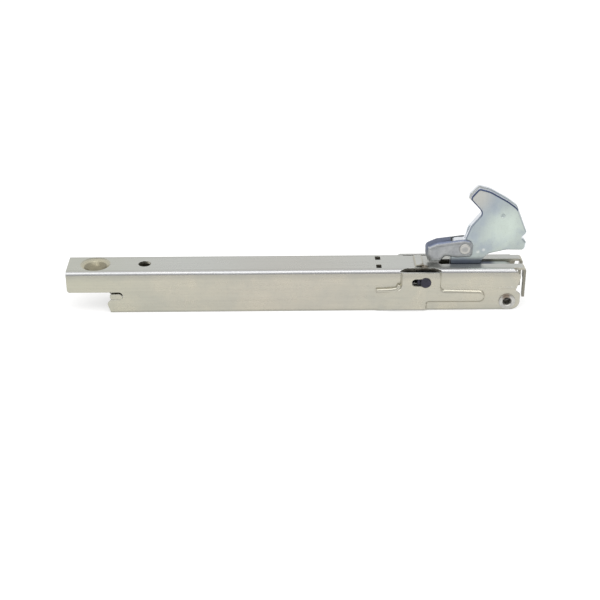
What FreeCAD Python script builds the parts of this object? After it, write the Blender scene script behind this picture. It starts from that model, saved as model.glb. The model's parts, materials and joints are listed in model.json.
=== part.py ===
import FreeCAD
import Part
import Sketcher
import math
import os
import re

# Oven door hinge, in millimetres: a folded steel channel that sits inside the door, with a hook
# claw on a rivet at one end and the spring that balances the door inside it.
# X runs along the channel towards the claw, Y across it, and Z from the channel's open mouth
# at 0 up to its web.  Lengths along X are taken from the channel's tail end while a piece is
# drawn, and each piece's placement then moves it so that the channel's middle is at X = 0.

DRIVING = {
    # folded channel
    "channel_length": 206.5,
    "channel_width": 17.5,
    "channel_depth": 20.0,
    "sheet_wall": 1.2,
    "bend_outer": 2.0,
    "tail_length": 18.4,
    "tail_depth": 10.0,
    "tail_corner": 1.3,
    "notch_length": 6.5,
    "notch_height": 3.8,
    "lip_step": 0.7,
    "lip_chamfer": 1.5,
    "dish_place": 12.4,
    "dish_radius": 6.8,
    "dish_floor": 1.8,
    "dish_drop": 3.6,
    "web_hole_place": 34.6,
    "web_hole_radius": 2.85,
    # bulged stretch of both walls
    "bulge_step": 1.5,
    "bulge_start_inset": 68.3,
    "bulge_ramp": 8.0,
    "bulge_rise_inset": 57.0,
    "bulge_end_inset": 38.5,
    "bulge_ledge": 10.6,
    "bulge_top_gap": 0.8,
    "bulge_corner": 2.0,
    "tongue_tip_inset": 18.5,
    "tongue_low": 4.1,
    "tongue_high": 9.6,
    "tongue_root_inset": 44.5,
    "slit_width": 2.3,
    "window_inset": 66.3,
    "window_length": 2.4,
    "window_width": 3.6,
    "window_spacing": 8.4,
    "lance_inset": 48.1,
    "lance_length": 4.2,
    "lance_width": 10.0,
    "lance_rise": 1.0,
    # claw end of the channel
    "slot_inset": 39.0,
    "slot_width": 5.2,
    "fork_slot_width": 9.6,
    "fork_slot_top": 14.4,
    "wall_end_inset": 2.3,
    "wall_waist": 2.2,
    "flange_width": 13.2,
    "flange_low": 5.2,
    "crease_height": 11.0,
    "crease_length": 7.0,
    "crease_rise": 0.25,
    # pivot of the claw
    "pivot_inset": 8.1,
    "pivot_height": 4.1,
    "pivot_shank": 2.2,
    "pivot_bore": 1.7,
    "pivot_bore_depth": 5.0,
    "pivot_head": 3.8,
    "pivot_head_thick": 0.8,
    "sleeve_radius": 2.9,
    "run_fit": 0.05,
    "gap": 0.3,
    # claw
    "claw_thick": 4.4,
    "claw_edge": 0.8,
    "claw_lap": 0.7,
    "hub_radius": 3.9,
    "crank_radius": 7.0,
    "link_pin_radius": 1.3,
    "link_pin_head": 2.0,
    "link_pin_head_thick": 0.6,
    "dimple_radius": 1.0,
    "dimple_depth": 0.4,
    # latch
    "latch_sheet": 1.2,
    "latch_fold": 2.6,
    "latch_pivot_inset": 27.9,
    "latch_pivot_height": 28.0,
    "latch_rivet_radius": 1.6,
    "latch_rivet_head": 2.5,
    "latch_rivet_head_thick": 0.7,
    "latch_reach": 17.3,
    # drag link
    "link_sheet": 1.0,
    "link_width": 7.2,
    "link_low": 5.2,
    "link_box_inset": 69.0,
    "link_web_inset": 30.5,
    "pinch_length": 6.0,
    "strap_length": 9.8,
    "strap_thick": 2.0,
    "strap_trim": 0.5,
    "strap_hole": 1.3,
    "strap_hole_edge": 2.4,
    "fork_wall": 1.1,
    # guide pin and roller
    "guide_inset": 45.5,
    "guide_height": 14.4,
    "guide_radius": 1.6,
    "guide_end": 2.45,
    "guide_proud": 0.6,
    "keyhole_small": 1.8,
    "keyhole_run": 4.4,
    "roller_radius": 3.4,
    "clip_thick": 0.6,
    "clip_radius": 3.6,
    # friction washers on the link
    "axle_inset": 57.0,
    "axle_height": 7.8,
    "axle_radius": 1.5,
    "axle_collar": 2.4,
    "axle_collar_thick": 0.4,
    "axle_head": 1.9,
    "axle_head_thick": 0.7,
    "washer_radius": 4.4,
    "washer_thick": 0.9,
    "washer_cone": 0.7,
    # anchor bar and tension spring
    "bar_width": 5.6,
    "bar_thick": 2.6,
    "wire_radius": 1.0,
    "coil_radius": 4.7,
    "coil_count": 17.0,
    "coil_pitch": 3.56,
    "coil_start": 42.5,
    "coil_height": 8.5,
}

RULES = {
    "half_width": "channel_width / 2",
    "inner_half": "channel_width / 2 - sheet_wall",
    "tail_low": "channel_depth - tail_depth",
    "notch_end": "tail_length + notch_length",
    "notch_low": "tail_low - notch_height",
    "web_under": "channel_depth - sheet_wall",
    "flange_inner": "channel_length - sheet_wall",
    "wall_end": "channel_length - wall_end_inset",
    "wall_high_end": "wall_end - 3.6",
    "bulge_start": "channel_length - bulge_start_inset",
    "bulge_rise": "channel_length - bulge_rise_inset",
    "ramp_end": "bulge_start + bulge_ramp",
    "bulge_end": "channel_length - bulge_end_inset",
    "bulge_top": "channel_depth - bulge_top_gap",
    "bulge_half": "half_width + bulge_step",
    "bulge_inner": "half_width + bulge_step - sheet_wall",
    "tongue_tip": "channel_length - tongue_tip_inset",
    "tongue_root": "channel_length - tongue_root_inset",
    "window_place": "channel_length - window_inset",
    "lance_place": "channel_length - lance_inset",
    "slot_start": "channel_length - slot_inset",
    "pivot_place": "channel_length - pivot_inset",
    "claw_half": "claw_thick / 2",
    "crank_offset": "crank_radius * sqrt(0.5)",
    "crank_place": "pivot_place - crank_offset",
    "crank_height": "pivot_height + crank_offset",
    "crank_rise": "crank_radius - crank_offset",
    "latch_pivot_place": "channel_length - latch_pivot_inset",
    "latch_inner": "claw_half + gap",
    "latch_outer": "latch_inner + latch_sheet",
    "link_half": "link_width / 2",
    "link_inner": "link_width / 2 - link_sheet",
    "link_box_start": "channel_length - link_box_inset",
    "link_web_end": "channel_length - link_web_inset",
    "axle_place": "channel_length - axle_inset",
    "link_high": "guide_height - roller_radius - gap",
    "strap_end": "link_box_start - pinch_length - strap_length",
    "strap_hole_place": "strap_end + strap_hole_edge",
    "slot_half": "link_pin_radius + gap",
    "fork_half": "slot_half + fork_wall",
    "fork_low": "pivot_height + pivot_shank + gap",
    "fork_high": "crank_height + crank_rise + link_pin_radius + gap + fork_wall",
    "fork_clear_start": "pivot_place - 2 * crank_offset - pivot_shank - gap",
    "guide_place": "channel_length - guide_inset",
    "sleeve_start": "link_half + gap",
    "disc_start": "link_half + axle_collar_thick",
    "disc_middle": "disc_start + washer_thick + washer_cone",
    "disc_end": "disc_start + 2 * washer_thick + 2 * washer_cone",
    "bar_start": "notch_end - gap - bar_width",
    "bar_low": "notch_low + gap / 2",
    "bar_middle": "bar_low + bar_thick / 2",
    "middle": "channel_length / 2",
}

WORD = re.compile(r"[a-z][a-z_]+")
FUNCTIONS = ("sqrt", "cos", "sin", "tan")

doc = FreeCAD.newDocument("oven_door_hinge")
sheet = doc.addObject("Spreadsheet::Sheet", "dims")
for row, (alias, size) in enumerate(DRIVING.items(), start=1):
    sheet.set("A%d" % row, alias)
    sheet.set("B%d" % row, str(size))
    sheet.setAlias("B%d" % row, alias)
doc.recompute()

EPS = 1e-4


def formula(text):
    """Writes a size formula out in terms of the sheet's cells, one rule inside another."""
    def swap(found):
        word = found.group(0)
        if word in RULES:
            return "(" + formula(RULES[word]) + ")"
        if word in DRIVING:
            return "dims." + word
        if word in FUNCTIONS:
            return word
        raise ValueError("no size is named " + word)
    return WORD.sub(swap, str(text))


def number(text):
    """The value of a size formula in millimetres."""
    value = sheet.evalExpression(formula(text))
    return float(getattr(value, "Value", value))


def bind(thing, prop, text):
    """Ties one property of an object to a size formula."""
    thing.setExpression(prop, formula(text))


def new_body(label, along="0", up="0"):
    """An empty piece whose placement puts its drawing into the hinge's frame."""
    body = doc.addObject("PartDesign::Body", label)
    body.Label = label
    bind(body, "Placement.Base.x", "(%s) - middle" % along)
    bind(body, "Placement.Base.z", up)
    return body


def origin_feature(body, role):
    return [part for part in body.Origin.OriginFeatures if part.Role == role][0]


def new_sketch(body, name, plane, lift=None):
    sketch = body.newObject("Sketcher::SketchObject", name)
    sketch.AttachmentSupport = [(origin_feature(body, plane), "")]
    sketch.MapMode = "FlatFace"
    if lift is not None:
        bind(sketch, "AttachmentOffset.Base.z", lift)
    return sketch


def place_point(sketch, geometry, end, across, up):
    """Fixes one point of a sketch at two size formulas."""
    for kind, text in (("DistanceX", across), ("DistanceY", up)):
        fixed = Sketcher.Constraint(kind, -1, 1, geometry, end, number(text))
        index = sketch.addConstraint(fixed)
        bind(sketch, "Constraints[%d]" % index, text)


def corner_cut(before, corner, after, radius):
    """The two tangent points, the centre and the turn of an arc that rounds a corner."""
    back = (before - corner).normalize()
    ahead = (after - corner).normalize()
    half = math.acos(max(-1.0, min(1.0, back.dot(ahead)))) / 2
    reach = radius / math.tan(half)
    centre = corner + (back + ahead).normalize() * (radius / math.sin(half))
    turn = (corner - before).cross(after - corner).z
    return corner + back * reach, corner + ahead * reach, centre, turn


def round_arc(centre, radius, first, last, turn):
    """The arc from first to last; sketch arcs always run anticlockwise."""
    if turn < 0:
        first, last = last, first
    start = math.atan2(first.y - centre.y, first.x - centre.x)
    stop = math.atan2(last.y - centre.y, last.x - centre.x)
    if stop < start:
        stop += 2 * math.pi
    return Part.ArcOfCircle(Part.Circle(centre, FreeCAD.Vector(0, 0, 1), radius), start, stop)


def outline(body, name, plane, corners, lift=None):
    """A closed sketch through corners given as (across, up) or (across, up, rounding radius)."""
    sketch = new_sketch(body, name, plane, lift)
    points = [FreeCAD.Vector(number(c[0]), number(c[1]), 0) for c in corners]
    radii = [number(c[2]) if len(c) > 2 else 0.0 for c in corners]
    count = len(corners)
    entries = []
    exits = []
    arcs = []
    for i in range(count):
        if radii[i] > 0:
            first, last, centre, turn = corner_cut(
                points[i - 1], points[i], points[(i + 1) % count], radii[i]
            )
            entries.append(first)
            exits.append(last)
            arcs.append((round_arc(centre, radii[i], first, last, turn), turn))
        else:
            entries.append(points[i])
            exits.append(points[i])
            arcs.append(None)
    lines = []
    for i in range(count):
        lines.append(sketch.addGeometry(Part.LineSegment(exits[i], entries[(i + 1) % count])))
    for i in range(count):
        before, after = lines[i - 1], lines[i]
        if arcs[i] is None:
            sketch.addConstraint(Sketcher.Constraint("Coincident", before, 2, after, 1))
            place_point(sketch, after, 1, corners[i][0], corners[i][1])
            continue
        arc = sketch.addGeometry(arcs[i][0])
        near, far = (1, 2) if arcs[i][1] > 0 else (2, 1)
        sketch.addConstraint(Sketcher.Constraint("Tangent", before, 2, arc, near))
        sketch.addConstraint(Sketcher.Constraint("Tangent", arc, far, after, 1))
        radius = sketch.addConstraint(Sketcher.Constraint("Radius", arc, radii[i]))
        bind(sketch, "Constraints[%d]" % radius, corners[i][2])
        corner = sketch.addGeometry(Part.Point(points[i]), True)
        sketch.addConstraint(Sketcher.Constraint("PointOnObject", corner, 1, before))
        sketch.addConstraint(Sketcher.Constraint("PointOnObject", corner, 1, after))
        place_point(sketch, corner, 1, corners[i][0], corners[i][1])
    return sketch


def circles(body, name, plane, rounds, lift=None):
    """A sketch of circles given as (across, up, radius)."""
    sketch = new_sketch(body, name, plane, lift)
    for across, up, radius in rounds:
        centre = FreeCAD.Vector(number(across), number(up), 0)
        shape = Part.Circle(centre, FreeCAD.Vector(0, 0, 1), number(radius))
        index = sketch.addGeometry(shape)
        place_point(sketch, index, 3, across, up)
        fixed = sketch.addConstraint(Sketcher.Constraint("Radius", index, number(radius)))
        bind(sketch, "Constraints[%d]" % fixed, radius)
    return sketch


def box_corners(left, right, low, high):
    return [(left, low), (right, low), (right, high), (left, high)]


def extrude(body, kind, name, sketch, length=None, both=False, reverse=False):
    """A pad or pocket of a sketch; a pocket without a length goes through everything."""
    feature = body.newObject("PartDesign::" + kind, name)
    feature.Profile = sketch
    if both:
        feature.SideType = "Symmetric"
    feature.Reversed = reverse
    if length is None:
        feature.Type = "ThroughAll"
    else:
        bind(feature, "Length", length)
    doc.recompute()
    return feature


def pad(body, name, sketch, length, both=False, reverse=False):
    return extrude(body, "Pad", name, sketch, length, both, reverse)


def pocket(body, name, sketch, length=None, both=False, reverse=False):
    before = body.Shape.Volume
    feature = extrude(body, "Pocket", name, sketch, length, both, reverse)
    if body.Shape.Volume > before - EPS:
        raise RuntimeError("%s in %s cuts nothing" % (name, body.Label))
    return feature


def dress(body, kind, name, radius, wanted):
    """A fillet or chamfer on the edges of the body that the wanted test picks."""
    base = body.Tip
    names = []
    for i, edge in enumerate(base.Shape.Edges, start=1):
        if wanted(edge):
            names.append("Edge%d" % i)
    if not names:
        raise RuntimeError("%s in %s found no edges" % (name, body.Label))
    feature = body.newObject("PartDesign::" + kind, name)
    feature.Base = (base, names)
    bind(feature, "Radius" if kind == "Fillet" else "Size", radius)
    doc.recompute()
    return feature


def edge_in_plane(edge, axis, value):
    """True for an edge that lies in the plane where one coordinate has the value."""
    box = edge.BoundBox
    low = (box.XMin, box.YMin, box.ZMin)[axis]
    high = (box.XMax, box.YMax, box.ZMax)[axis]
    return abs(low - value) < EPS and abs(high - value) < EPS


def turned(label, along, up, corners):
    """A piece turned about an axis along Y, from (radius, y) corners of its half section."""
    body = new_body(label, along, up)
    sketch = outline(body, label + "_section", "XY_Plane", corners)
    feature = body.newObject("PartDesign::Revolution", label + "_turn")
    feature.Profile = sketch
    feature.ReferenceAxis = (origin_feature(body, "Y_Axis"), [""])
    feature.Angle = 360.0
    doc.recompute()
    return body


def add_channel():
    """The folded channel: a block with the side view's outline, rounded, bulged and hollowed."""
    body = new_body("channel")
    side = outline(body, "side_view", "XZ_Plane", [
        ("0", "channel_depth"),
        ("0", "tail_low", "tail_corner"),
        ("notch_end - 0.01", "tail_low", "notch_height / 2 - 0.02"),
        ("notch_end - 0.01", "notch_low", "notch_height / 2 - 0.02"),
        ("tail_length + 1", "notch_low", "0.5"),
        ("tail_length - lip_step", "notch_low - 1.9", "0.8"),
        ("tail_length + 0.6", "0", "0.6"),
        ("wall_end", "0", "4"),
        ("wall_end", "pivot_height + 3.4", "1"),
        ("wall_end - wall_waist", "crease_height - 1.6", "1"),
        ("wall_end - 1", "crease_height + 2.2", "1.5"),
        ("wall_end", "channel_depth - 3", "2"),
        ("wall_end - 3.6", "channel_depth"),
    ])
    pad(body, "block", side, "channel_width", both=True)
    half = number("half_width")
    top = number("channel_depth")
    dress(body, "Fillet", "folds", "bend_outer", lambda e: edge_in_plane(e, 2, top)
          and abs(abs(e.CenterOfMass.y) - half) < EPS)
    add_bulge(body)
    crease = box_corners("pivot_place - 4", "pivot_place - 4 + crease_length",
                         "crease_height - 0.35", "crease_height + 0.35")
    pad(body, "crease", outline(body, "crease_view", "XZ_Plane", crease),
        "channel_width + crease_rise * 2", both=True)
    hollow = outline(body, "hollow_section", "YZ_Plane", [
        ("0 - inner_half", "0 - 1"),
        ("inner_half", "0 - 1"),
        ("inner_half", "web_under", "bend_outer - sheet_wall"),
        ("0 - inner_half", "web_under", "bend_outer - sheet_wall"),
    ])
    pocket(body, "hollow", hollow, both=True)
    add_bulge_back(body)
    add_fold_slits(body)
    add_end_flange(body)
    add_web_openings(body)
    add_lance(body)
    add_dish(body)
    holes = circles(body, "pivot_holes", "XZ_Plane",
                    [("pivot_place", "pivot_height", "pivot_shank + run_fit")])
    pocket(body, "pivot_bore", holes, both=True)
    large = circles(body, "keyhole_large_view", "XZ_Plane",
                    [("guide_place", "guide_height", "guide_end")])
    pocket(body, "keyhole_end", large, both=True)
    narrow = outline(body, "keyhole_small_view", "XZ_Plane", [
        ("guide_place - keyhole_run - keyhole_small", "guide_height - keyhole_small",
         "keyhole_small - 0.02"),
        ("guide_place", "guide_height - keyhole_small"),
        ("guide_place", "guide_height + keyhole_small"),
        ("guide_place - keyhole_run - keyhole_small", "guide_height + keyhole_small",
         "keyhole_small - 0.02"),
    ])
    pocket(body, "keyhole_run_cut", narrow, both=True)
    return body


def add_bulge(body):
    """The raised stretch of both walls, which ramps out of the wall at its tail end."""
    face_view = outline(body, "bulge_view", "XZ_Plane", [
        ("bulge_start", "0"),
        ("bulge_start", "bulge_ledge"),
        ("bulge_rise", "bulge_ledge + 0.9", "bulge_corner"),
        ("bulge_rise + 0.3", "bulge_top"),
        ("bulge_end", "bulge_top"),
        ("bulge_end", "tongue_high + 0.7", "bulge_corner"),
        ("tongue_tip", "tongue_high", "2.3"),
        ("tongue_tip", "tongue_low", "2.3"),
        ("tongue_root", "tongue_low", "1"),
        ("tongue_root", "0"),
    ])
    pad(body, "bulge", face_view, "bulge_half * 2", both=True)
    for side, sign in (("front", "0 - "), ("rear", "")):
        wedge = outline(body, side + "_ramp_view", "XY_Plane", [
            ("bulge_start - 1", sign + "half_width"),
            ("bulge_start", sign + "half_width"),
            ("ramp_end", sign + "bulge_half"),
            ("ramp_end", sign + "(bulge_half + 1)"),
            ("bulge_start - 1", sign + "(bulge_half + 1)"),
        ])
        pocket(body, side + "_ramp", wedge, reverse=True)
    face = number("bulge_half")
    limit = number("ramp_end - middle")
    top = number("bulge_top - 0.2")
    dress(body, "Chamfer", "bulge_slope", "bulge_step * 0.75",
          lambda e: (edge_in_plane(e, 1, face) or edge_in_plane(e, 1, -face))
          and e.CenterOfMass.x > limit + 0.01 and e.CenterOfMass.z < top)


def add_bulge_back(body):
    """The inside of the raised stretch, one sheet's thickness behind its outside."""
    for side, sign in (("front", "0 - "), ("rear", "")):
        inside = outline(body, side + "_ramp_back_view", "XY_Plane", [
            ("bulge_start", sign + "(inner_half - 0.5)"),
            ("bulge_start", sign + "inner_half"),
            ("ramp_end", sign + "bulge_inner"),
            ("tongue_root - sheet_wall", sign + "bulge_inner"),
            ("tongue_root - sheet_wall", sign + "(inner_half - 0.5)"),
        ], "bulge_ledge - sheet_wall")
        pocket(body, side + "_ramp_back", inside)
    inset = outline(body, "bulge_back_view", "XZ_Plane", [
        ("ramp_end", "tongue_low + sheet_wall"),
        ("ramp_end", "bulge_ledge - sheet_wall"),
        ("bulge_rise + sheet_wall", "bulge_ledge + 0.9 - sheet_wall", "1"),
        ("bulge_rise + sheet_wall", "bulge_top - 0.9"),
        ("bulge_end - sheet_wall", "bulge_top - 0.9"),
        ("bulge_end - sheet_wall", "tongue_high - sheet_wall", "1"),
        ("tongue_tip - sheet_wall", "tongue_high - sheet_wall", "1.2"),
        ("tongue_tip - sheet_wall", "tongue_low + sheet_wall", "1.2"),
    ])
    pocket(body, "bulge_back", inset, "bulge_inner * 2", both=True)


def add_fold_slits(body):
    """The lens shaped slits that free the bulged walls from the web at both folds."""
    for side, sign in (("front", "0 - "), ("rear", "")):
        inner = sign + "(half_width - slit_width)"
        outer = sign + "(half_width + 0.3)"
        corners = [
            ("bulge_rise - 0.2", sign + "(half_width - 0.4)"),
            ("bulge_rise + 3", outer),
            ("bulge_end - 3", outer),
            ("bulge_end + 0.4", sign + "(half_width - 0.4)"),
            ("bulge_end - 3", inner),
            ("bulge_rise + 3", inner),
        ]
        lens = outline(body, side + "_slit_view", "XY_Plane", corners, "channel_depth + 1")
        pocket(body, side + "_slit", lens, "2.6 + 1")


def add_end_flange(body):
    """The end of the web, folded down across the channel's claw end."""
    profile = outline(body, "flange_section", "XZ_Plane", [
        ("channel_length - 7", "channel_depth"),
        ("channel_length - 7", "web_under"),
        ("flange_inner", "web_under", "bend_outer - sheet_wall"),
        ("flange_inner", "flange_low"),
        ("channel_length", "flange_low"),
        ("channel_length", "channel_depth", "bend_outer"),
    ])
    pad(body, "end_flange", profile, "flange_width", both=True)
    wide = outline(body, "fork_slot_view", "YZ_Plane", [
        ("0 - fork_slot_width / 2", "flange_low - 1"),
        ("fork_slot_width / 2", "flange_low - 1"),
        ("fork_slot_width / 2", "fork_slot_top", "1"),
        ("0 - fork_slot_width / 2", "fork_slot_top", "1"),
    ], "flange_inner - 1")
    pocket(body, "fork_slot", wide, "sheet_wall + 2", reverse=True)


def add_web_openings(body):
    """The claw slot, which runs on down the end flange, the round hole and two windows."""
    slot = outline(body, "claw_slot_view", "XY_Plane", [
        ("slot_start", "0 - slot_width / 2", "1.5"),
        ("channel_length + 1", "0 - slot_width / 2"),
        ("channel_length + 1", "slot_width / 2"),
        ("slot_start", "slot_width / 2", "1.5"),
    ])
    pocket(body, "claw_slot", slot, reverse=True)
    hole = circles(body, "web_hole_view", "XY_Plane", [("web_hole_place", "0", "web_hole_radius")])
    pocket(body, "web_hole", hole, reverse=True)
    for side, sign in (("front", "0 - "), ("rear", "")):
        near = sign + "(window_spacing / 2 - window_width / 2)"
        far = sign + "(window_spacing / 2 + window_width / 2)"
        view = outline(body, side + "_window_view", "XY_Plane", [
            ("window_place - window_length / 2", near),
            ("window_place + window_length / 2", near),
            ("window_place + window_length / 2", far),
            ("window_place - window_length / 2", far),
        ])
        pocket(body, side + "_window", view, reverse=True)


def add_lance(body):
    """The short strap lanced up out of the web, open at both of its ends across the channel."""
    left = "lance_place - lance_length / 2"
    right = "lance_place + lance_length / 2"
    strap = outline(body, "lance_view", "XZ_Plane", [
        (left, "web_under"),
        (right, "web_under"),
        (right, "channel_depth + lance_rise", "0.9"),
        (left, "channel_depth + lance_rise", "0.9"),
    ])
    pad(body, "lance_strap", strap, "lance_width", both=True)
    under = outline(body, "lance_gap_view", "XZ_Plane", [
        (left + " + 0.7", "web_under - 0.5"),
        (right + " - 0.7", "web_under - 0.5"),
        (right + " - 0.7", "channel_depth + lance_rise - 0.6", "0.5"),
        (left + " + 0.7", "channel_depth + lance_rise - 0.6", "0.5"),
    ])
    pocket(body, "lance_gap", under, "lance_width", both=True)


def add_dish(body):
    """The conical dish pressed down into the web near the tail: a boss below, then its recess."""
    for name, kind, rim, rim_height, floor, floor_height in (
        ("dish_boss", "Additive", "dish_radius", "web_under + 0.3",
         "dish_floor + sheet_wall / 2", "web_under - dish_drop"),
        ("dish_recess", "Subtractive", "dish_radius", "channel_depth + 0.01",
         "dish_floor", "channel_depth - dish_drop"),
    ):
        wide = circles(body, name + "_rim", "XY_Plane", [("dish_place", "0", rim)], rim_height)
        tight = circles(body, name + "_floor", "XY_Plane", [("dish_place", "0", floor)],
                        floor_height)
        feature = body.newObject("PartDesign::%sLoft" % kind, name)
        feature.Profile = wide
        feature.Sections = [tight]
        feature.Ruled = True
        doc.recompute()


def claw_corners(lap, tooth):
    """The claw's side view; the rear half stands proud by the lap and has the small tooth."""
    end = "channel_length - "
    return [
        (end + "26.3 - " + lap, "51.2", "0.8"),
        (end + "26.0 - " + lap, "52.6 + " + lap + " / 2", "1"),
        (end + "22.9", "56.4 + " + lap, "1.4"),
        (end + "17.9", "55.0 + " + lap, "12"),
        (end + "9.7", "50.2 + " + lap, "20"),
        (end + "5.3", "46.8 + " + lap, "4"),
        (end + "0.2", "34.9", "1.2"),
        (end + "2.3", "32.6", "0.9"),
        (end + "0.2", "30.2", "1.2"),
        (end + "0.6", "26.4", "1.8"),
        (end + "9", "26.6", "8"),
        (end + "17.4", "24.6", "5"),
        (end + "21.3", "web_under + 0.4", "1.6"),
        (end + "4", "web_under + 0.4", "5"),
        ("pivot_place + hub_radius", "pivot_height - hub_radius", "hub_radius - 0.1"),
        ("pivot_place - hub_radius", "pivot_height - hub_radius", "hub_radius - 0.1"),
        ("crank_place - 3.2", "crank_height - 2.6", "2.5"),
        ("latch_pivot_place - 6", "14.6", "4"),
        ("latch_pivot_place - 5.8", "latch_pivot_height + 3.4", "2.5"),
        ("latch_pivot_place + 0.1", "latch_pivot_height + 3.7", "1"),
    ] + tooth + [
        ("latch_pivot_place + 2.4", "38.4", "3"),
        ("latch_pivot_place + 7.3", "44.6", "2.2"),
    ]


def add_claw():
    """The hook: a thick plate in two halves, pierced for its pivot, its crank pin and the latch."""
    body = new_body("claw")
    front = outline(body, "front_view", "XZ_Plane", claw_corners("0", []))
    pad(body, "front_half", front, "claw_half")
    tooth = [
        ("latch_pivot_place + 1.1", "36.2", "0.3"),
        ("latch_pivot_place + 1.5", "37.4", "0.3"),
    ]
    rear = outline(body, "rear_view", "XZ_Plane", claw_corners("claw_lap", tooth))
    pad(body, "rear_half", rear, "claw_half", reverse=True)
    face = number("claw_half")
    dress(body, "Fillet", "rolled_edges", "claw_edge",
          lambda e: edge_in_plane(e, 1, face) or edge_in_plane(e, 1, -face))
    bores = circles(body, "claw_bores", "XZ_Plane", [
        ("pivot_place", "pivot_height", "pivot_shank + run_fit"),
        ("crank_place", "crank_height", "link_pin_radius"),
        ("latch_pivot_place", "latch_pivot_height", "latch_rivet_radius"),
    ])
    pocket(body, "bores", bores, both=True)
    mark = circles(body, "dimple_view", "XZ_Plane",
                   [("channel_length - 11.6", "43.6", "dimple_radius")], "claw_half")
    pocket(body, "dimple", mark, "dimple_depth")
    return body


def add_latch():
    """The safety latch: sheet folded over the claw's arm, with a bridge at its nose."""
    body = new_body("latch")
    nose = "latch_pivot_place - latch_reach"
    view = outline(body, "latch_view", "XZ_Plane", [
        (nose + " + 1.3", "channel_depth + 1", "0.6"),
        (nose, "channel_depth + 4.6", "2"),
        (nose, "latch_pivot_height + 0.7", "2.2"),
        (nose + " + 4.8", "latch_pivot_height + 2.9", "5"),
        ("latch_pivot_place - 0.4", "latch_pivot_height + 4.5", "4"),
        ("latch_pivot_place + 4.1", "latch_pivot_height + 3.4", "3"),
        ("latch_pivot_place + 4.1", "latch_pivot_height - 4.8", "2"),
        ("latch_pivot_place - 3.4", "latch_pivot_height - 5.2", "6"),
        ("latch_pivot_place - 8.4", "latch_pivot_height - 4.3", "0.8"),
        ("latch_pivot_place - 10.6", "channel_depth + 1", "0.6"),
    ])
    pad(body, "fold_block", view, "latch_outer * 2", both=True)
    face = number("latch_outer")
    base = number("latch_pivot_height - 0.5")
    dress(body, "Fillet", "fold", "latch_fold",
          lambda e: (edge_in_plane(e, 1, face) or edge_in_plane(e, 1, -face))
          and e.BoundBox.ZMax > base and e.CenterOfMass.x < number("latch_pivot_place"))
    inside = outline(body, "latch_inside", "XZ_Plane", [
        (nose + " + latch_sheet", "channel_depth - 2"),
        (nose + " + latch_sheet", "latch_pivot_height - 0.2", "1"),
        (nose + " + 5.2", "latch_pivot_height + 1.7", "3"),
        ("latch_pivot_place - 6.3", "latch_pivot_height + 2.2"),
        ("latch_pivot_place - 6.3", "latch_pivot_height + 9"),
        ("latch_pivot_place + 9", "latch_pivot_height + 9"),
        ("latch_pivot_place + 9", "channel_depth - 2"),
    ])
    pocket(body, "saddle", inside, "latch_inner * 2", both=True)
    bore = circles(body, "latch_bore_view", "XZ_Plane",
                   [("latch_pivot_place", "latch_pivot_height", "latch_rivet_radius + run_fit")])
    pocket(body, "latch_bore", bore, both=True)
    return body


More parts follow.
